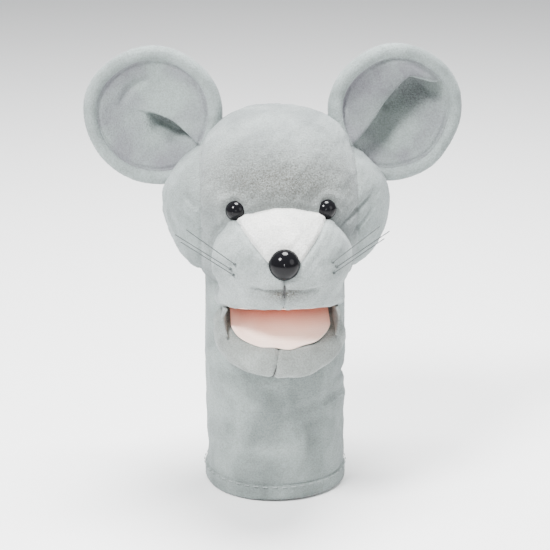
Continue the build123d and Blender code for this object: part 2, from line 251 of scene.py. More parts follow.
def sleeve_rule(u, v, _):
    """Rolls a flat square into the turned-up hem, the sleeve, the throat and the sewn top edge."""
    turn = 2 * math.pi * u
    rise = (v + 0.5) * 1.65 - 0.15
    z = ring_top * np.clip(rise, 0, 1)
    front = np.cos(turn / 2) ** 4
    radius = sleeve_radius - 0.3 + 3 * front * ease((z - 52) / 60)
    radius = radius + 1.3 * ease((13.5 - z) / 2) - 0.8 * np.exp(-((z - 13.2) / 0.9) ** 2)
    radius = radius - 2.6 * (1 - np.sqrt(1 - np.clip(1 - z / 2.6, 0, 1) ** 2))
    x, y = radius * np.sin(turn), -radius * np.cos(turn)
    soft = ease((z - 10) / 22)
    swell = 1.0 * ripple(x, y, z, 70, 4) + 0.6 * ripple(x, y, z, 26, 9) + 0.15 * ripple(x, y, z, 8, 10)
    side = np.exp(-(((turn - 1.75) / 0.55) ** 2))
    notch = 4.2 * side * np.exp(-(((z - 91 + 9 * (turn - 1.6)) / 4.5) ** 2))
    pouch = 2.2 * side * np.exp(-(((z - 78) / 9) ** 2))
    slack = 1.6 * np.exp(-(((z - 60 - 22 * np.sin(turn + 0.6)) / 5) ** 2)) * ease(np.sin(turn + 0.3) * 1.4)
    seam = 1.1 * np.exp(-(((np.abs(turn) - math.pi / 2) * radius / 1.6) ** 2))
    radius = radius + soft * (swell - notch + pouch - slack) - seam
    inside = np.clip(-rise / 0.15, 0, 1)
    radius = np.where(rise < 0, 54.1 - 2.5 * np.sqrt(1 - np.clip(1 - inside * 5, 0, 1) ** 2), radius)
    z = np.where(rise < 0, inside * 13, z) + 0.7 * (1 + np.sin(3 * turn + 1)) * ease((22 - z) / 22)
    x, y = radius * np.sin(turn), -radius * np.cos(turn)
    part = np.degrees(np.abs(turn))
    arc = np.clip(part / 48, 0, 1) * math.pi / 2
    leg = np.clip((part - 48) / 14, 0, 1) * (bow_start - 1)
    chin_x, chin_y = lip_bow * np.sin(arc) * np.sign(turn), -bow_start - lip_bow * np.cos(arc) + leg
    chin = from_jaw(chin_x, chin_y, -lip_radius - 4)
    behind = np.radians(46 + np.clip(part - 62, 0, 118) * 134 / 118)
    sewn_radius = 0.98 * sleeve_radius
    back_x, back_y = sewn_radius * np.sin(behind) * np.sign(turn), -sewn_radius * np.cos(behind)
    sew = ease((part - 61) / 13)
    top_x = chin[0] * (1 - sew) + back_x * sew
    top_y = chin[1] * (1 - sew) + back_y * sew
    top_z = chin[2] * (1 - sew) + (under_head(back_x, back_y) + 3) * sew
    lift = np.clip(rise - 1, 0, 0.5) * 2
    slide = lift ** (1 + 1.6 * (1 - sew))
    x = x * (1 - slide) + top_x * slide
    y = y * (1 - slide) + top_y * slide
    z = z * (1 - lift) + top_z * lift - 3 * np.sin(math.pi * lift) * (1 - sew)
    return x, y, z


def fuzz(bm, size, seed):
    """Roughens a mesh by the unevenness of its pile."""
    bm.normal_update()
    random = np.random.RandomState(seed).normal(size=len(bm.verts))
    for vert, height in zip(bm.verts, random):
        if not vert.is_boundary:
            vert.co += vert.normal * float(np.clip(height, -2, 2)) * size


grey = plush("grey_plush_pile", (0.26, 0.30, 0.29), (0.155, 0.18, 0.175))
tube = bmesh.new()
bmesh.ops.create_grid(tube, x_segments=270, y_segments=220, size=0.5)
mould(tube, sleeve_rule)
bmesh.ops.remove_doubles(tube, verts=tube.verts, dist=0.01)
bmesh.ops.recalc_face_normals(tube, faces=tube.faces)
fuzz(tube, 0.10, 1)
bands = [
    ("hem", -1.0, hem_top, "sleeve", None, ["hem"]),
    ("sleeve", hem_top, collar_foot, "sleeve", "neck", ["sleeve"]),
    ("collar", collar_foot, nape_foot, "neck", "wrist", ["neck"]),
    ("nape", nape_foot, ring_top, "wrist", "head", []),
    ("throat", ring_top, None, "head", "jaw", []),
]
for name, low, high, lower, upper, stands_for in bands:
    band = cut(tube, (0, 0, low), (0, 0, -1))
    if high:
        band = cut(band, (0, 0, high), (0, 0, 1))
    for half, way in (("front", 1), ("back", -1)):
        wall = hem_thick if name == "hem" else plush_thick
        panel = piece(f"{name}_{half}_cloth", cut(band, (0, 0, 0), (0, way, 0)), grey, thick=wall)
        if name == "throat" and half == "front":
            hang = np.array([0, -1, 0.35]) / 1.1225
            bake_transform(panel, "head", "jaw", start=hang * 0.098, end=hang * 0.110)
            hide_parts("chin")
        elif upper and name != "throat":
            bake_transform(panel, upper, lower, start=(0, 0, high / 1000), end=(0, 0, low / 1000))
        else:
            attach(panel, lower)
        for node in stands_for:
            if node == "hem":
                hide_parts("hem")
            else:
                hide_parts(f"{node}_{half}")

# Hem stitches: one row of grey thread round the hem, through both layers of the plush.
def cloth(name, pale, deep, weave, rough=0.85, relief=0.5, shade_patch=None, shade_colour=None):
    """A thin woven or brushed cloth: crossed threads with a little unevenness of colour, and an optional
    darker spot of painted shade.
    """
    material = bpy.data.materials.new(name)
    material.use_nodes = True
    nodes, links = material.node_tree.nodes, material.node_tree.links
    shader = nodes["Principled BSDF"]
    shader.inputs["Roughness"].default_value = rough
    shader.inputs["Specular IOR Level"].default_value = 0.2
    shader.inputs["Sheen Weight"].default_value = 0.3
    place = nodes.new("ShaderNodeTexCoord")
    shade = nodes.new("ShaderNodeTexNoise")
    shade.inputs["Scale"].default_value = 55
    shade.inputs["Detail"].default_value = 6
    links.new(place.outputs["Object"], shade.inputs["Vector"])
    tone = nodes.new("ShaderNodeValToRGB")
    tone.color_ramp.elements[0].position = 0.3
    tone.color_ramp.elements[0].color = (*deep, 1)
    tone.color_ramp.elements[1].position = 0.7
    tone.color_ramp.elements[1].color = (*pale, 1)
    links.new(shade.outputs["Fac"], tone.inputs["Fac"])
    colour = tone.outputs["Color"]
    if shade_patch:
        colour = tint(material, colour, shade_patch, shade_colour, flecked=False)
    links.new(colour, shader.inputs["Base Color"])
    height = nodes.new("ShaderNodeMath")
    height.operation = "ADD"
    for slot, direction in enumerate(("X", "Z")):
        thread = nodes.new("ShaderNodeTexWave")
        thread.bands_direction = direction
        thread.inputs["Scale"].default_value = weave
        thread.inputs["Distortion"].default_value = 1.2
        thread.inputs["Detail"].default_value = 2
        links.new(place.outputs["Object"], thread.inputs["Vector"])
        links.new(thread.outputs["Fac"], height.inputs[slot])
    bump = nodes.new("ShaderNodeBump")
    bump.inputs["Strength"].default_value = relief
    bump.inputs["Distance"].default_value = 0.0003
    links.new(height.outputs["Value"], bump.inputs["Height"])
    links.new(bump.outputs["Normal"], shader.inputs["Normal"])
    return material


def dress(material, *names):
    """Gives frame nodes a finish."""
    for name in names:
        for each in frame["nodes"][name].material_slots:
            each.material = material


dress(cloth("grey_stitch_thread", (0.34, 0.37, 0.37), (0.22, 0.24, 0.24), 900), "hem_stitches")

# Lining: a thin woven tube sewn to the turned-up hem. It narrows to the wrist and ends in the head,
# where the hand goes on into the finger pocket. It bends with the neck's joints as the plush does.
weave = cloth("lining_weave", (0.62, 0.64, 0.63), (0.50, 0.52, 0.51), 700)
lining_foot, lining_top, front_drop = 3.0, corners("wrist_lining")[1][2], 46.0
bore = corners("sleeve_lining")[1][0] - 0.4
wrist = corners("wrist_lining")[1][0] - 0.4


def lining_rule(u, v, _):
    """Rolls a flat square into the lining, loose enough to crease a little."""
    turn = 2 * math.pi * u
    top = lining_top - front_drop * ease((np.cos(turn) + 0.1) / 0.6)
    z = lining_foot + (v + 0.5) * (top - lining_foot)
    radius = bore - (bore - wrist) * ease((z - 76) / 30)
    loose = ease((z - 16) / 20) * ease((top - z) / 20)
    x, y = radius * np.sin(turn), -radius * np.cos(turn)
    radius = radius + 0.5 * loose * ripple(x, y, z, 24, 12)
    return radius * np.sin(turn), -radius * np.cos(turn), z


bag = bmesh.new()
bmesh.ops.create_grid(bag, x_segments=120, y_segments=70, size=0.5)
mould(bag, lining_rule)
bmesh.ops.remove_doubles(bag, verts=bag.verts, dist=0.01)
bmesh.ops.recalc_face_normals(bag, faces=bag.faces)
for name, low, high, lower, upper in (
    ("sleeve", lining_foot, collar_foot, "sleeve", "neck"),
    ("collar", collar_foot, nape_foot, "neck", "wrist"),
    ("wrist", nape_foot, ring_top, "wrist", "head"),
):
    band = cut(bag, (0, 0, low - 1), (0, 0, -1))
    if name != "wrist":
        band = cut(band, (0, 0, high), (0, 0, 1))
    panel = piece(f"{name}_lining_cloth", band, weave, thick=0.6)
    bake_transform(panel, upper, lower, start=(0, 0, high / 1000), end=(0, 0, low / 1000))
    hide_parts("wrist_lining" if name == "wrist" else "sleeve_lining")
dress(weave, "finger_pocket", "thumb_pocket")

# Head: a stuffed ball of plush sewn from a crown, a back and two cheeks, with the muzzle sewn on in
# front from a near-white top and two pale sides that meet under the nose and turn in as the lip.
crown_half_width = 55.0
back_seam = 20.0
muzzle_centre = np.array([0.0, -74.0, 206.0])
muzzle_half_width, muzzle_radius = 52.0, 40.0
upper_lip_radius, upper_lip_bow = 7.0, 43.0
lip_wad_at, lip_wad_size = (9.5, -105.5, 196), (10, 10, 9)


def narrow_at(up):
    """How much narrower the head is at a height, counted in radii above its middle."""
    return 1 - 0.13 * np.exp(-(((up - 0.6) / 0.25) ** 2))


def head_depth(x, y, z):
    """How far a point stands off the head's ball, below zero inside it."""
    up = (z - head_centre[2]) / head_radius
    out = (x / (head_half_width * narrow_at(up))) ** 2
    out = out + ((y - head_centre[1]) / head_radius) ** 2 + up**2
    return (np.sqrt(out) - 1) * head_radius


def muzzle_depth(x, y, z):
    """How far a point stands off the muzzle's ball, below zero inside it."""
    out = (x / muzzle_half_width) ** 2 + ((y - muzzle_centre[1]) / muzzle_radius) ** 2
    return (np.sqrt(out + ((z - muzzle_centre[2]) / muzzle_radius) ** 2) - 1) * muzzle_radius


def to_palate(x, y, z):
    """From the puppet to the palate's plane, measured from the fold."""
    a, y, z = palate_rise, y - fold[1], z - fold[2]
    return x, y * math.cos(a) - z * math.sin(a), y * math.sin(a) + z * math.cos(a)


def to_jaw(x, y, z):
    """From the puppet to the jaw's plane, measured from the fold."""
    a, y, z = jaw_drop, y - fold[1], z - fold[2]
    return x, y * math.cos(a) + z * math.sin(a), -y * math.sin(a) + z * math.cos(a)


def ball(bm, centre, size, rule=None):
    """Adds a closed ball, drawn out to three half sizes."""
    made = bmesh.ops.create_uvsphere(bm, u_segments=64, v_segments=40, radius=1)
    for vert in made["verts"]:
        x, y, z = vert.co
        narrow = rule(z) if rule else 1
        vert.co = (centre[0] + size[0] * x * narrow, centre[1] + size[1] * y, centre[2] + size[2] * z)


def lip_roll(bm, bow, radius, height, place, start=2.0):
    """Adds a padded roll along the round front of a lip and back along both its legs."""
    made = bmesh.ops.create_uvsphere(bm, u_segments=28, v_segments=160, radius=1)
    leg, half_turn = bow_start - start, math.pi * bow
    for vert in made["verts"]:
        x, y, z = vert.co
        along = math.asin(max(-1, min(1, z))) / math.pi + 0.5
        around = math.atan2(y, x)
        length = along * (2 * leg + half_turn)
        end = min(length, 2 * leg + half_turn - length)
        r = radius * math.sqrt(max(0, 1 - max(0, 1 - end / radius) ** 2))
        if length < leg:
            at, way = (-bow, -start - length), math.pi
        elif length > leg + half_turn:
            at, way = (bow, -start - (2 * leg + half_turn - length)), 0
        else:
            way = math.pi + (length - leg) / bow
            at = (bow * math.cos(way), -bow_start + bow * math.sin(way))
        out = r * math.cos(around)
        x, y = at[0] + out * math.cos(way), at[1] + out * math.sin(way)
        vert.co = place(x, y, height + r * math.sin(around))


def settle(bm, voxel, rounds):
    """Makes overlapping closed shapes one even skin, and softens it."""
    mesh = bpy.data.meshes.new("skin")
    bmesh.ops.recalc_face_normals(bm, faces=bm.faces)
    bm.to_mesh(mesh)
    bm.free()
    obj = bpy.data.objects.new("skin", mesh)
    bpy.context.scene.collection.objects.link(obj)
    skin = obj.modifiers.new("skin", "REMESH")
    skin.mode = "VOXEL"
    skin.voxel_size = voxel
    done = bpy.data.meshes.new_from_object(obj.evaluated_get(bpy.context.evaluated_depsgraph_get()))
    made = bmesh.new()
    made.from_mesh(done)
    bpy.data.objects.remove(obj)
    for _ in range(rounds):
        bmesh.ops.smooth_vert(
            made, verts=made.verts, factor=0.5, use_axis_x=True, use_axis_y=True, use_axis_z=True
        )
    return made


def inflate(bm, held, cap):
    """Blows a sewn skin up from inside as cloth, held along its seams, then halves its mesh twice."""
    bmesh.ops.scale(bm, vec=(0.001, 0.001, 0.001), verts=bm.verts)
    mesh = bpy.data.meshes.new("blown")
    bm.to_mesh(mesh)
    bm.free()
    obj = bpy.data.objects.new("blown", mesh)
    bpy.context.scene.collection.objects.link(obj)
    before = np.array([v.co for v in mesh.vertices])
    seam = obj.vertex_groups.new(name="seam")
    seam.add([int(i) for i in np.flatnonzero(held(*(before.T * 1000)))], 1, "REPLACE")
    blow = obj.modifiers.new("blow", "CLOTH")
    blow.settings.quality = 5
    blow.settings.mass = 0.002
    blow.settings.tension_stiffness = 6
    blow.settings.compression_stiffness = 6
    blow.settings.shear_stiffness = 3
    blow.settings.bending_stiffness = 0.02
    blow.settings.air_damping = 1.0
    blow.settings.use_pressure = True
    blow.settings.uniform_pressure_force = 1500
    blow.settings.vertex_group_mass = "seam"
    blow.settings.effector_weights.gravity = 0
    blow.collision_settings.use_collision = False
    for step in range(1, 21):
        bpy.context.scene.frame_set(step)
    after = obj.evaluated_get(bpy.context.evaluated_depsgraph_get()).data
    moved = np.array([v.co for v in after.vertices]) - before
    far = np.linalg.norm(moved, axis=1, keepdims=True)
    moved *= np.minimum(1, cap / 1000 / np.maximum(far, 1e-9))
    mesh.vertices.foreach_set("co", (before + moved).ravel())
    obj.modifiers.remove(blow)
    bpy.context.scene.frame_set(1)
    finer = obj.modifiers.new("finer", "SUBSURF")
    finer.levels = finer.render_levels = 2
    done = bpy.data.meshes.new_from_object(obj.evaluated_get(bpy.context.evaluated_depsgraph_get()))
    made = bmesh.new()
    made.from_mesh(done)
    bpy.data.objects.remove(obj)
    bmesh.ops.scale(made, vec=(1000, 1000, 1000), verts=made.verts)
    return made


def press(bm, rule):
    """Moves every point out along its normal by a rule on its x, y and z."""
    bm.normal_update()
    heights = rule(*np.array([v.co for v in bm.verts]).T)
    for vert, height in zip(bm.verts, heights):
        vert.co += vert.normal * float(height)


def cut_along(bm, rule):
    """A copy of a mesh without what lies where a rule on x, y and z is above zero."""
    copy = bm.copy()
    home = copy.verts.layers.float_vector.new("home")
    for vert, side in zip(copy.verts, rule(*np.array([v.co for v in copy.verts]).T)):
        vert[home] = vert.co
        vert.co.x = side
    geom = copy.verts[:] + copy.edges[:] + copy.faces[:]
    bmesh.ops.bisect_plane(
        copy, geom=geom, dist=1e-4, plane_co=(0, 0, 0), plane_no=(1, 0, 0), clear_outer=True
    )
    for vert in copy.verts:
        vert.co = vert[home]
    copy.verts.layers.float_vector.remove(home)
    return copy


def line(distance, depth, width):
    """A sewn line or crease of this depth and half width."""
    return -depth * np.exp(-((distance / width) ** 2))


def muzzle_seam(x, y, z):
    """Zero along the seam round the muzzle, below zero on the muzzle."""
    return muzzle_depth(x, y, z) - head_depth(x, y, z)


def crown_seam(x, y, z):
    """Zero along the seams between the crown and the cheeks, which draw in upward."""
    return np.abs(x) - crown_half_width - 4 + 0.12 * np.clip(z - 275, 0, 60)


def brow_seam(x, y, z):
    """Zero along the V where the white top of the muzzle meets its sides."""
    return (np.abs(x) - (z - 202) * 0.944) / 1.375


def bow_of(x, y):
    """How far out a point lies in the round-fronted shape of the mouth."""
    return np.where(y < -bow_start, np.hypot(x, y + bow_start), np.abs(x))


eye_at = (corners("right_eye")[0] + corners("right_eye")[1]) / 2
nose_at = (corners("nose")[0] + corners("nose")[1]) / 2


def sew_head(x, y, z):
    """The seams, pleats and creases of the head, and the plush that swells round its buttons."""
    on_muzzle = ease(-muzzle_seam(x, y, z) / 3 + 0.5)
    on_head = 1 - on_muzzle
    out = line(muzzle_seam(x, y, z), 2.4, 2.6)
    out += on_head * line(crown_seam(x, y, z), 1.3, 1.6) * (y < back_seam)
    out += on_head * line(y - back_seam, 1.3, 1.8)
    brow_line = line(brow_seam(x, y, z), 1.8, 1.7) + 0.8 * np.exp(-((brow_seam(x, y, z) / 8) ** 2))
    out += on_muzzle * brow_line * (z > 203)
    centre = on_muzzle * (z < 206) * (y < -90)
    out += centre * (line(x, 2.4, 1.5) + 1.0 * np.exp(-((x / 7) ** 2)))
    for lean in (-1, 1):
        reach = lean * x
        smile = line(z - (192.5 + 0.10 * (reach - 14) ** 2 / 14), 2.8, 2.0)
        out += centre * smile * ease(reach / 3) * ease((29 - reach) / 8)
        slope = z - (238 + 0.55 * (reach - 52)) if lean < 0 else z - (233 + 0.7 * (reach - 50))
        out += on_head * (y < -20) * line(slope, 2.2, 2.6) * ease((reach - 42) / 8) * ease((74 - reach) / 10)
        slope = z - (226 + 0.9 * (reach - 60))
        out += on_head * (y < -20) * line(slope, 1.8, 2.2) * ease((reach - 50) / 8) * ease((76 - reach) / 10)
        near = np.sqrt((reach - eye_at[0]) ** 2 + (y - eye_at[1]) ** 2 + (z - eye_at[2]) ** 2)
        out += 1.7 * np.exp(-(((near - 10.5) / 3.2) ** 2)) - 1.2 * np.exp(-((near / 5) ** 2))
    near = np.sqrt(x**2 + (y - nose_at[1]) ** 2 + (z - nose_at[2]) ** 2)
    out += 1.2 * np.exp(-(((near - 14.5) / 4) ** 2))
    out += 1.1 * ripple(x, y, z, 46, 21) + 0.5 * ripple(x, y, z, 17, 22) + 0.18 * ripple(x, y, z, 7, 23)
    return out


def flatten_palate(x, y, z):
    """Keeps the muzzle's underside above the mouth cloth."""
    px, py, pz = to_palate(x, y, z)
    inside = ease((upper_lip_bow - 1.5 - bow_of(px, py)) / 3) * (py < 2)
    pz = pz + (np.maximum(pz, 1.6) - pz) * inside
    return from_palate(px, py, pz)


def held_head(x, y, z):
    """Where the head's skin is sewn, pinned by a button or turned in."""
    on_head = muzzle_seam(x, y, z) > 0
    held = (np.abs(muzzle_seam(x, y, z)) < 3.5) | (np.abs(y - back_seam) < 3) | (hand_hole(x, y, z) > -5)
    held |= on_head & (np.abs(crown_seam(x, y, z)) < 3)
    held |= ~on_head & (np.abs(brow_seam(x, y, z)) < 3) & (z > 200)
    held |= ~on_head & (np.abs(x) < 3) & (z < 206) & (y < -90)
    held |= (to_palate(x, y, z)[2] < 4) & (y < -30)
    eye_near = (np.abs(x) - eye_at[0]) ** 2 + (y - eye_at[1]) ** 2 + (z - eye_at[2]) ** 2
    held |= np.sqrt(eye_near) < 13
    return held | (np.sqrt(x**2 + (y - nose_at[1]) ** 2 + (z - nose_at[2]) ** 2) < 15)


def hand_hole(x, y, z):
    """Above zero where the hand goes in through the underside."""
    return np.minimum(43.6 - np.hypot(x, y - 6), 204 - z)


head = bmesh.new()
ball(head, head_centre, (head_half_width, head_radius, head_radius), narrow_at)
ball(head, muzzle_centre, (muzzle_half_width, muzzle_radius, muzzle_radius))
for lean in (-1, 1):
    ball(head, (lean * lip_wad_at[0], *lip_wad_at[1:]), lip_wad_size)
lip_roll(head, upper_lip_bow, upper_lip_radius, upper_lip_radius, from_palate, start=-8)
head = inflate(settle(head, 4.2, 2), held_head, cap=2.4)
press(head, sew_head)
mould(head, flatten_palate)
fuzz(head, 0.10, 2)


def before_back(x, y, z):
    """Above zero behind the seam at the back of the head."""
    return y - back_seam


def beside_crown(x, y, z):
    """Above zero on the crown."""
    return -crown_seam(x, y, z)


def below_brow(x, y, z):
    """Above zero on the white top of the muzzle."""
    return -brow_seam(x, y, z)


ball_part = cut_along(cut_along(head, lambda x, y, z: -muzzle_seam(x, y, z)), hand_hole)
muzzle_part = cut_along(head, muzzle_seam)
panels = [
    ("crown_plush", [before_back, crown_seam], "brow_plush", ["crown"]),
    ("head_back_plush", [lambda x, y, z: back_seam - y], "grey_plush", ["head_back"]),
    ("left_cheek_plush", [before_back, beside_crown, lambda x, y, z: x], "grey_plush", ["left_cheek"]),
    ("right_cheek_plush", [before_back, beside_crown, lambda x, y, z: -x], "grey_plush", ["right_cheek"]),
    ("muzzle_top_plush", [brow_seam], "white_plush", ["muzzle_top"]),
    ("left_muzzle_plush", [below_brow, lambda x, y, z: x], "pale_plush", ["left_muzzle", "upper_lip"]),
    ("right_muzzle_plush", [below_brow, lambda x, y, z: -x], "pale_plush", ["right_muzzle", "upper_lip"]),
]
# Painted shade: the head and crown plush are darkened over the brow, and the pale muzzle sides are darkened
# below the nose.
brow, below_nose_shade = ((0, -60, 262), (140, 84, 46)), ((0, -112, 190), (40, 26, 13))
shades = {
    "grey_plush": ("head", (0.28, 0.32, 0.315), (0.19, 0.22, 0.215), brow, (0.075, 0.070, 0.060)),
    "brow_plush": ("brow", (0.27, 0.30, 0.295), (0.18, 0.20, 0.20), brow, (0.072, 0.067, 0.057)),
    "white_plush": ("white", (0.74, 0.74, 0.71), (0.58, 0.59, 0.575)),
    "pale_plush": ("pale", (0.34, 0.375, 0.37), (0.23, 0.26, 0.255), below_nose_shade, (0.095, 0.09, 0.08)),
}
finish = {slot: plush(f"{name}_plush_pile", *shade) for slot, (name, *shade) in shades.items()}
for name, seams, slot, stands_for in panels:
    part = muzzle_part if "muzzle" in name else ball_part
    for seam in seams:
        part = cut_along(part, seam)
    panel = piece(name, part, finish[slot], thick=2.2)
    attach(panel, "head")
    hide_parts(*stands_for)

# Stuffing, mouth boards and lock washers: polyester fibre inside every padded part, two stiff boards
# behind the mouth cloth, and a white plastic washer pressed on each button's shank.
fibre = cloth("fibre_stuffing", (0.86, 0.86, 0.84), (0.76, 0.76, 0.74), 300, relief=0.9)
dress(fibre, "lower_lip_stuffing", "jaw_stuffing")
inset = head_radius - 5
wad = bmesh.new()
ball(wad, head_centre, (head_half_width - 5, inset, inset), narrow_at)
press(wad, lambda x, y, z: 0.8 * ripple(x, y, z, 18, 71))
wad = cut_along(wad, hand_hole)
inset = muzzle_radius - 6
snout_wad = bmesh.new()
ball(snout_wad, muzzle_centre, (muzzle_half_width - 6, inset, inset))
press(snout_wad, lambda x, y, z: 0.8 * ripple(x, y, z, 16, 72))
mould(snout_wad, flatten_palate)
snout_wad = cut_along(snout_wad, lambda x, y, z: 4 - head_depth(x, y, z))
for name, wadding, stands_for in (
    ("head_wadding", wad, "head_stuffing"),
    ("muzzle_wadding", snout_wad, "muzzle_stuffing"),
):
    wadding = piece(name, wadding, fibre, thick=7)
    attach(wadding, "head")
    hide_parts(stands_for)
board = cloth("grey_board", (0.30, 0.29, 0.27), (0.22, 0.21, 0.20), 1500, rough=0.7)
dress(board, "upper_board", "lower_board")


def moulded(name, colour, rough, coat, grain, shine=0.5):
    """Moulded plastic, with a little waviness in its gloss."""
    material = bpy.data.materials.new(name)
    material.use_nodes = True
    nodes, links = material.node_tree.nodes, material.node_tree.links
    shader = nodes["Principled BSDF"]
    shader.inputs["Coat Weight"].default_value = coat
    shader.inputs["Specular IOR Level"].default_value = shine
    shader.inputs["Coat Roughness"].default_value = 0.04
    place = nodes.new("ShaderNodeTexCoord")
    wave = nodes.new("ShaderNodeTexNoise")
    wave.inputs["Scale"].default_value = grain
    wave.inputs["Detail"].default_value = 3
    links.new(place.outputs["Object"], wave.inputs["Vector"])
    gloss = nodes.new("ShaderNodeMapRange")
    gloss.inputs["To Min"].default_value = rough * 0.7
    gloss.inputs["To Max"].default_value = rough * 1.4
    links.new(wave.outputs["Fac"], gloss.inputs["Value"])
    links.new(gloss.outputs["Result"], shader.inputs["Roughness"])
    tone = nodes.new("ShaderNodeValToRGB")
    tone.color_ramp.elements[0].color = (*[c * 0.8 for c in colour], 1)
    tone.color_ramp.elements[1].color = (*[c * 1.2 for c in colour], 1)
    links.new(wave.outputs["Fac"], tone.inputs["Fac"])
    links.new(tone.outputs["Color"], shader.inputs["Base Color"])
    bump = nodes.new("ShaderNodeBump")
    bump.inputs["Strength"].default_value = 0.05
    bump.inputs["Distance"].default_value = 0.0002
    links.new(wave.outputs["Fac"], bump.inputs["Height"])
    links.new(bump.outputs["Normal"], shader.inputs["Normal"])
    return material


washer = moulded("white_washer_plastic", (0.75, 0.75, 0.73), 0.4, 0.0, 200)
dress(washer, "left_eye_washer", "right_eye_washer", "nose_washer")

# Eyes and nose: glossy black safety buttons, moulded with a domed face, pushed through the plush and
# held from behind by the washers.
button = moulded("black_button_gloss", (0.004, 0.004, 0.005), 0.09, 0.0, 60, shine=0.16)
dress(button, "left_eye", "right_eye", "nose")

# Whiskers and the thread under the nose: stiff dark nylon bristles knotted at the root, and one
# short stitch of black thread down to the lip.
bristle = moulded("bristle_nylon", (0.03, 0.04, 0.04), 0.35, 0.2, 400)
dress(bristle, "left_whiskers", "right_whiskers")
thread = cloth("black_stitch_thread", (0.03, 0.03, 0.03), (0.015, 0.015, 0.015), 900)
dress(thread, "lip_thread", "chin_thread")

# Lower lip: a thick padded roll round the front of the jaw, sewn from a left and a right half with a
# slanting seam at the chin. Its two ends run back to the fold under the muzzle.
jaw = bmesh.new()
lip_roll(jaw, lip_bow, lip_radius - 0.4, -lip_radius, from_jaw, start=-6)
jaw = settle(jaw, 1.2, 2)


seam_aside, seam_slant, lip_level = 2.6, 0.22, 146


def chin_seam(x, y, z):
    """Zero along the slanting seam between the lower lip's halves."""
    return (x + seam_aside + seam_slant * (lip_level - z)) / 1.024


def sew_lip(x, y, z):
    """The chin seam's pull, the lip's own swell and the creases by the corners."""
    _, jy, jz = to_jaw(x, y, z)
    front = ease((-jy - 35) / 12)
    seam = chin_seam(x, y, z)
    out = front * (line(seam, 1.8, 1.8) + 0.9 * np.exp(-((seam / 9) ** 2)))
    out += 0.7 * ripple(x, y, z, 30, 31) + 0.3 * ripple(x, y, z, 13, 32)
    for lean in (-1, 1):
        out += line(jy + 17 + 0.5 * jz, 0.9, 2.0) * (lean * x > 0)
    return out


press(jaw, sew_lip)
fuzz(jaw, 0.10, 3)
lip_finish = plush("lip_plush_pile", (0.29, 0.315, 0.30), (0.19, 0.205, 0.195))
for name, lean in (("left", 1), ("right", -1)):
    half = cut_along(jaw, lambda x, y, z: lean * chin_seam(x, y, z))
    half = piece(f"{name}_lip_plush", half, lip_finish, thick=2.0)
    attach(half, "jaw")
    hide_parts(f"{name}_lower_lip")

stitch = bpy.data.curves.new("chin_stitch", "CURVE")
stitch.dimensions = "3D"
stitch.bevel_depth = 0.00045
stitch.bevel_resolution = 3
run = stitch.splines.new("NURBS")
run.points.add(8)
for at, point in enumerate(run.points):
    round_lip = math.radians(10 + 125 * at / 8)
    sunk = lip_radius - 1.6
    y, z = -bow_start - lip_bow - sunk * math.sin(round_lip), -lip_radius + sunk * math.cos(round_lip)
    _, y, z = from_jaw(0, y, z)
    point.co = ((-seam_aside - seam_slant * (lip_level - z)) / 1000, y / 1000, z / 1000, 1)
run.order_u = 3
run.use_endpoint_u = True
stitch.materials.append(thread)
chin_stitch = bpy.data.objects.new("chin_stitch", stitch)
bpy.context.scene.collection.objects.link(chin_stitch)
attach(chin_stitch, "jaw")
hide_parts("chin_thread")

# Mouth: one piece of brushed peach cloth, folded at the back. The upper half is the palate and the
# lower half the tongue, whose loose front edge waves over the lip.
tongue_bow, palate_bow = 38.0, 40.0


def mouth_rule(u, v, _):
    """Folds a flat square into the palate and the tongue."""
    across = np.sin(u * math.pi)
    tongue = v > 0
    bow = np.where(tongue, tongue_bow, palate_bow)
    x = bow * across * 0.985
    reach = bow_start + np.sqrt(bow**2 - x**2)
    reach = reach + np.where(tongue, 1.1 * np.sin(x / 5.5 + 0.6) + 0.8 * np.sin(x / 3.1), 0)
    y = -np.abs(v) * 2 * reach
    edge = ease((bow_of(x, y) - 29) / 8)
    low = -0.6 + 1.5 * edge + edge * 0.7 * np.sin(x / 6.5 + 1.0) + 0.35 * ripple(x, y, 0 * x, 22, 41)
    high = 0.6 + 0.2 * ripple(x, y, 0 * x, 25, 42)
    low = from_jaw(x, y, low)
    high = from_palate(x, y, high)
    return [np.where(tongue, a, b) for a, b in zip(low, high)]


# Painted shade: the mouth cloth is darkened to deep red towards the fold at the back of the mouth.
mouth_back_shade = ((0, -42, 161), (130, 52, 30))
felt = cloth(
    "mouth_cloth_brushed", (1.0, 0.82, 0.73), (0.97, 0.74, 0.63), 500,
    relief=0.35, shade_patch=mouth_back_shade, shade_colour=(0.70, 0.13, 0.05),
)
mouth = bmesh.new()
bmesh.ops.create_grid(mouth, x_segments=90, y_segments=140, size=0.5)
mould(mouth, mouth_rule)
bmesh.ops.recalc_face_normals(mouth, faces=mouth.faces)
mouth = piece("mouth_cloth_fold", mouth, felt, thick=0.9)
mouth.modifiers["wall"].offset = 0
above, below = fold / 1000 + (0, 0, 0.001), fold / 1000 - (0, 0, 0.001)
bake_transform(mouth, "head", "jaw", start=(0, *above[1:]), end=(0, *below[1:]))
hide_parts("palate", "tongue")


def web_rule(lean):
    """The rule for one side's corner web."""

    def rule(u, v, _):
        """A fan from the fold, with a slack front edge that the lips stretch between."""
        share = u + 0.5
        open_by = (palate_rise + jaw_drop) * share - jaw_drop
        reach = 2 + (42 - 9 * np.sin(math.pi * share)) * (v + 0.5)
        x = lean * (41.5 + 2.6 * np.sin(math.pi * share) * (reach / 44) + 0.3 * np.sin(reach / 4))
        return x, fold[1] - reach * np.cos(open_by), fold[2] + reach * np.sin(open_by)

    return rule


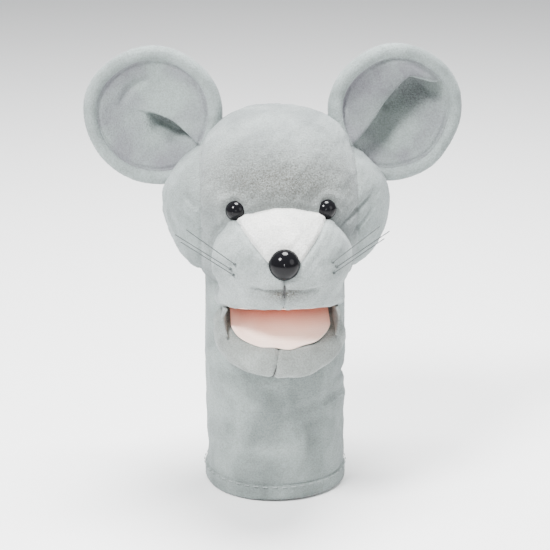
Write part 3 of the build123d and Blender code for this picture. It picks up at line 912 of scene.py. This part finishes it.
for name, lean in (("left", -1), ("right", 1)):
    web = bmesh.new()
    bmesh.ops.create_grid(web, x_segments=40, y_segments=50, size=0.5)
    mould(web, web_rule(lean))
    fuzz(web, 0.08, 5)
    bmesh.ops.recalc_face_normals(web, faces=web.faces)
    web = piece(f"{name}_corner_plush", web, lip_finish, thick=2.2)
    web.modifiers["wall"].offset = 0
    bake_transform(web, "head", "jaw", start=(0, -0.0606, 0.1695), end=(0, -0.0596, 0.1505))
    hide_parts(f"{name}_mouth_corner")

# Ears: each a shallow dish of plush, front and back sewn round a thin pad, with a padded roll round
# the edge. The root is pinched together before it is sewn into the crown seam, which folds the dish.
ear_centre = np.array([93.0, 6.0, 298.0])
ear_turn = math.radians(10)
rim_centre, rim_radius, dish_depth = 48.5, 5.5, 11.7
ear_root = np.array([67.44, 6.0, 279.49])
rim_from, rim_to, rim_half_turn = 0.72, 1.28, math.radians(158)


def ear_rule(lean):
    """The rule for one side's ear; root points from its middle to its root, side across that."""
    root = np.array([-lean * 25.56, -18.51]) / 31.56
    side = np.array([-lean * 18.51, 25.56]) / 31.56

    def rule(a, b, c):
        """Draws a ball out into the ear: its top the dish, its middle the rim, its foot the back."""
        part = np.arccos(np.clip(c, -1, 1)) / math.pi * 2
        around = np.arctan2(b, a)
        rim = np.clip((part - rim_from) / 0.56, 0, 1)
        swing = rim_half_turn - rim * 2 * rim_half_turn
        inner = rim_centre + rim_radius * math.cos(rim_half_turn)
        share = np.where(part < 1, part / rim_from, (2 - part) / rim_from)
        on_rim = (part > rim_from) & (part < rim_to)
        rho = np.where(on_rim, rim_centre + rim_radius * np.cos(swing), inner * np.clip(share, 0, 1))
        dish = 2.0 - dish_depth * (1 - (rho / inner) ** 2) - 1.4 * np.exp(-(((rho - inner + 1.2) / 1.5) ** 2))
        thick = 4.0 + 4.5 * ease((inner - rho) / 14)
        flat = np.where(on_rim, rim_radius * np.sin(swing), np.where(part < 1, dish, dish - thick))
        rho = rho * (1 + 0.012 * np.sin(3 * around + lean) + 0.008 * np.sin(5 * around))
        x, y = rho * np.cos(around), rho * np.sin(around)
        away = -(x * root[0] + y * root[1])
        above = x * side[0] + y * side[1]
        if lean < 0:
            crease = 6 - 15 * ease((away + 16) / 42)
            open_to = 14 * ease((away + 36) / 14) * ease((9 - away) / 18)
            amount, high, deep, over, hold = ease((20 - away) / 30), 7.0, 17.0, 3.5, 1
            curl = np.hypot(x, y) - 27
            flat = flat + line(curl, 1.8, 3.0) * ease((around - 1.5) / 0.5) * ease((3.1 - around) / 0.5)
        else:
            crease = 6 + 13 * ease((away + 30) / 55) - 22 * ease((away - 24) / 22)
            open_to = 20 * ease((away + 36) / 22) * ease((46 - away) / 14)
            amount, high, deep, over = ease((50 - away) / 20), 10.0, 19.0, 4.0
            hold = 1 - 0.5 * (above > crease)
        amount = amount * np.maximum(1 - hold * ease((rho - 38) / 8), ease((-away - 16) / 10))
        beyond = above - crease
        front = 0.5 * (1 + np.tanh(beyond / 1.5))
        pocket = (1 - front) * 0.5 * (1 + np.tanh((beyond + open_to) / (3.4 if lean < 0 else 12.0)))
        fold_up = front * high * np.exp(-((beyond / 17) ** 2))
        flat = flat + amount * (fold_up - pocket * deep * (open_to / (open_to + 3)))
        slide = -over * amount * front * np.exp(-((beyond / 9) ** 2))
        x, y = x + slide * side[0], y + slide * side[1]
        flat = flat + 0.8 * ripple(x, y, flat * 0, 34, 51 + lean)
        flat = flat + 0.3 * ripple(x, y, flat * 0, 14, 61 + lean)
        along = np.array([math.cos(ear_turn), lean * math.sin(ear_turn)])
        out = np.array([lean * math.sin(ear_turn), -math.cos(ear_turn)])
        return (
            lean * ear_centre[0] + x * along[0] + flat * out[0],
            ear_centre[1] + x * along[1] + flat * out[1],
            ear_centre[2] + y,
        )

    return rule


# Painted shade: the front plush of the right ear is darkened inside its dish, where the folded flap shades
# it.
right_ear_shade = ((104, 14, 312), (44, 40, 34))
ear_finish = plush(
    "ear_plush_pile", (0.245, 0.285, 0.275), (0.165, 0.165, 0.185), right_ear_shade, (0.06, 0.075, 0.068), lay=30
)
ear_back_finish = plush("ear_back_plush_pile", (0.28, 0.32, 0.315), (0.19, 0.22, 0.215))
for name, lean in (("left", -1), ("right", 1)):
    ear = bmesh.new()
    rings, steps = ((230, 150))
    bmesh.ops.create_uvsphere(ear, u_segments=rings, v_segments=steps, radius=1)
    part_of = ear.verts.layers.float.new("part")
    for vert in ear.verts:
        vert[part_of] = math.acos(max(-1, min(1, vert.co.z))) / math.pi * 2
    mould(ear, ear_rule(lean))
    fuzz(ear, 0.08, 7)
    ear = cut_along(ear, lambda x, y, z: -3.2 - head_depth(x, y, z))
    part_of = ear.verts.layers.float["part"]
    start = np.array([lean * ear_root[0], ear_root[1], ear_root[2]]) / 1000
    end = start + np.array([lean * 0.010, 0, 0.010])
    for part, low, high, slot, finish_of in (
        ("front", -1, rim_from, "ear_plush", ear_finish),
        ("rim", rim_from, rim_to, "grey_plush", ear_back_finish),
        ("back", rim_to, 3, "grey_plush", ear_back_finish),
    ):
        copy = ear.copy()
        layer = copy.verts.layers.float["part"]
        middles = [sum(v[layer] for v in f.verts) / len(f.verts) for f in copy.faces]
        gone = [f for f, middle in zip(copy.faces, middles) if not low < middle <= high]
        bmesh.ops.delete(copy, geom=gone, context="FACES")
        panel = piece(f"{name}_ear_{part}_plush", copy, finish_of, thick=1.8)
        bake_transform(panel, "head", f"{name}_ear", start=start, end=end)
        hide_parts(f"{name}_ear_{part}")
        if part == "front":
            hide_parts(f"{name}_ear_pad")

# Floor, light and camera: a pale floor that fades into a pale studio, with soft light from above and
# in front.
floor = bmesh.new()
bmesh.ops.create_grid(floor, x_segments=2, y_segments=2, size=4000)
paper = bpy.data.materials.new("pale_floor")
paper.use_nodes = True
paper.node_tree.nodes["Principled BSDF"].inputs["Base Color"].default_value = (0.93, 0.93, 0.93, 1)
paper.node_tree.nodes["Principled BSDF"].inputs["Roughness"].default_value = 0.9
piece("floor", floor, paper)

world = bpy.data.worlds.new("studio")
world.use_nodes = True
world.node_tree.nodes["Background"].inputs["Color"].default_value = (0.95, 0.98, 1.0, 1)
world.node_tree.nodes["Background"].inputs["Strength"].default_value = 0.5
bpy.context.scene.world = world
for name, at, size, power in (
    ("key", (-0.9, -0.9, 1.6), 0.5, 85),
    ("fill", (1.3, -0.9, 0.9), 1.0, 9),
    ("top", (0.15, 0.15, 1.8), 0.8, 105),
    ("catch", (-0.06, -1.25, 0.50), 0.10, 2.5),
):
    lamp = bpy.data.lights.new(name, "AREA")
    lamp.shape = "DISK"
    lamp.size = size
    lamp.energy = power
    light = bpy.data.objects.new(name, lamp)
    bpy.context.scene.collection.objects.link(light)
    light.location = at
    aim = np.array([0, 0, 0.2]) - np.array(at)
    light.rotation_euler = (math.atan2(math.hypot(aim[0], aim[1]), -aim[2]), 0, math.atan2(-aim[0], aim[1]))

camera = bpy.data.objects.new("camera", bpy.data.cameras.new("camera"))
bpy.context.scene.collection.objects.link(camera)
camera.data.lens = 107.7
camera.data.sensor_width = 36
tilt, swing, away, aimed_at = math.radians(17.5), math.radians(-3.5), 1.3, 0.170
level = away * math.cos(tilt)
camera.location = (level * math.sin(swing), -level * math.cos(swing), aimed_at + away * math.sin(tilt))
camera.rotation_euler = (math.pi / 2 - tilt, 0, swing)
bpy.context.scene.camera = camera
